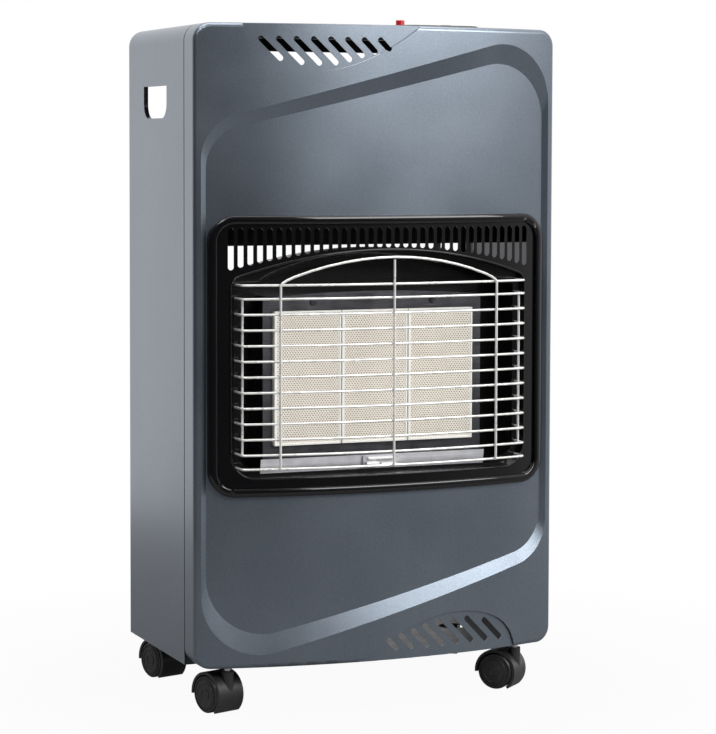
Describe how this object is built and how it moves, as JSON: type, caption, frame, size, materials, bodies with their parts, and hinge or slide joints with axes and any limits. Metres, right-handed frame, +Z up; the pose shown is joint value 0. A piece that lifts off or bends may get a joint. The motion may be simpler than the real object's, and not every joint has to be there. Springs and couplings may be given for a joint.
{
  "type": "gas cabinet heater",
  "caption": "Portable gas cabinet heater: ceramic plaque burner behind a wire guard, bulged metal front, carrying holes, top controls and swivel casters.",
  "frame": {"origin": "centre of the bounding box's base, on the floor under the casters", "axes": "+Z up, -Y towards the person in front of the fire, +X to that person's right"},
  "size_m": [0.42, 0.2882, 0.7455],
  "materials": {
    "panel_paint": "satin metallic",
    "black_enamel": "gloss",
    "dark_steel": "matte heat resistant",
    "zinc_sheet": "satin",
    "zinc_screws": "satin",
    "plaque_ceramic": "matte ceramic",
    "polished_strip": "polished",
    "pilot_ceramic": "glazed ceramic",
    "guard_chrome": "bright",
    "black_plastic": "fine texture",
    "valve_aluminium": "cast",
    "brass_fittings": "turned",
    "red_button": "gloss",
    "caster_plastic": "moulded"
  },
  "bodies": {
    "cabinet": {"front_panel": "panel_paint", "outer_shell": "panel_paint", "seam_frame": "black_enamel", "base_plate": "dark_steel", "fire_surround": "black_enamel", "firebox": "dark_steel", "burner_body": "dark_steel", "burner_frame": "dark_steel", "burner_screws": "zinc_screws", "ceramic_plaque_left": "plaque_ceramic", "ceramic_plaque_middle": "plaque_ceramic", "ceramic_plaque_right": "plaque_ceramic", "mixing_tubes": "zinc_sheet", "gas_manifold": "zinc_sheet", "injectors": "brass_fittings", "manifold_brackets": "zinc_sheet", "deflector": "polished_strip", "pilot_bracket": "zinc_sheet", "pilot_burner": "pilot_ceramic", "spark_electrode": "pilot_ceramic", "thermocouple": "zinc_screws", "heat_shield": "dark_steel", "guard_crosswires": "guard_chrome", "guard_uprights": "guard_chrome", "guard_legs": "guard_chrome", "control_bezel": "black_plastic", "gas_valve": "valve_aluminium", "inlet_nozzle": "brass_fittings", "gas_pipe": "valve_aluminium", "piezo_igniter": "black_plastic", "caster_stems": "zinc_screws"},
    "spindle": {"valve_spindle": "zinc_screws"},
    "knob": {"control_knob": "black_plastic"},
    "button": {"igniter_button": "red_button"},
    "swivel_front_left": {"caster_hood_front_left": "caster_plastic"},
    "wheel_front_left": {"caster_wheels_front_left": "caster_plastic", "caster_axle_front_left": "zinc_screws"},
    "swivel_front_right": {"caster_hood_front_right": "caster_plastic"},
    "wheel_front_right": {"caster_wheels_front_right": "caster_plastic", "caster_axle_front_right": "zinc_screws"},
    "swivel_rear_left": {"caster_hood_rear_left": "caster_plastic"},
    "wheel_rear_left": {"caster_wheels_rear_left": "caster_plastic", "caster_axle_rear_left": "zinc_screws"},
    "swivel_rear_right": {"caster_hood_rear_right": "caster_plastic"},
    "wheel_rear_right": {"caster_wheels_rear_right": "caster_plastic", "caster_axle_rear_right": "zinc_screws"}
  },
  "joints": [
    {"name": "valve_push", "type": "slide", "parent": "cabinet", "child": "spindle", "axis": [0, 0, -1], "range_m": [0, 0.003]},
    {"name": "knob_turn", "type": "hinge", "parent": "spindle", "child": "knob", "pos_m": [0.116, 0.0041, 0.733], "axis": [0, 0, 1], "range_deg": [0, 270]},
    {"name": "igniter_push", "type": "slide", "parent": "cabinet", "child": "button", "axis": [0, 0, -1], "range_m": [0, 0.004]},
    {"name": "swivel_turn_front_left", "type": "hinge", "parent": "cabinet", "child": "swivel_front_left", "pos_m": [-0.17, -0.0909, 0.051], "axis": [0, 0, 1], "continuous": true},
    {"name": "wheel_roll_front_left", "type": "hinge", "parent": "swivel_front_left", "child": "wheel_front_left", "pos_m": [-0.17565, -0.07487, 0.02], "axis": [0.9432, 0.3322, 0], "continuous": true},
    {"name": "swivel_turn_front_right", "type": "hinge", "parent": "cabinet", "child": "swivel_front_right", "pos_m": [0.17, -0.0909, 0.051], "axis": [0, 0, 1], "continuous": true},
    {"name": "wheel_roll_front_right", "type": "hinge", "parent": "swivel_front_right", "child": "wheel_front_right", "pos_m": [0.15878, -0.07813, 0.02], "axis": [0.7513, 0.66, 0], "continuous": true},
    {"name": "swivel_turn_rear_left", "type": "hinge", "parent": "cabinet", "child": "swivel_rear_left", "pos_m": [-0.17, 0.1001, 0.051], "axis": [0, 0, 1], "continuous": true},
    {"name": "wheel_roll_rear_left", "type": "hinge", "parent": "swivel_rear_left", "child": "wheel_rear_left", "pos_m": [-0.17497, 0.11636, 0.02], "axis": [0.9563, 0.2924, 0], "continuous": true},
    {"name": "swivel_turn_rear_right", "type": "hinge", "parent": "cabinet", "child": "swivel_rear_right", "pos_m": [0.17, 0.1001, 0.051], "axis": [0, 0, 1], "continuous": true},
    {"name": "wheel_roll_rear_right", "type": "hinge", "parent": "swivel_rear_right", "child": "wheel_rear_right", "pos_m": [0.1785, 0.11482, 0.02], "axis": [0.866, -0.5, 0], "continuous": true}
  ]
}
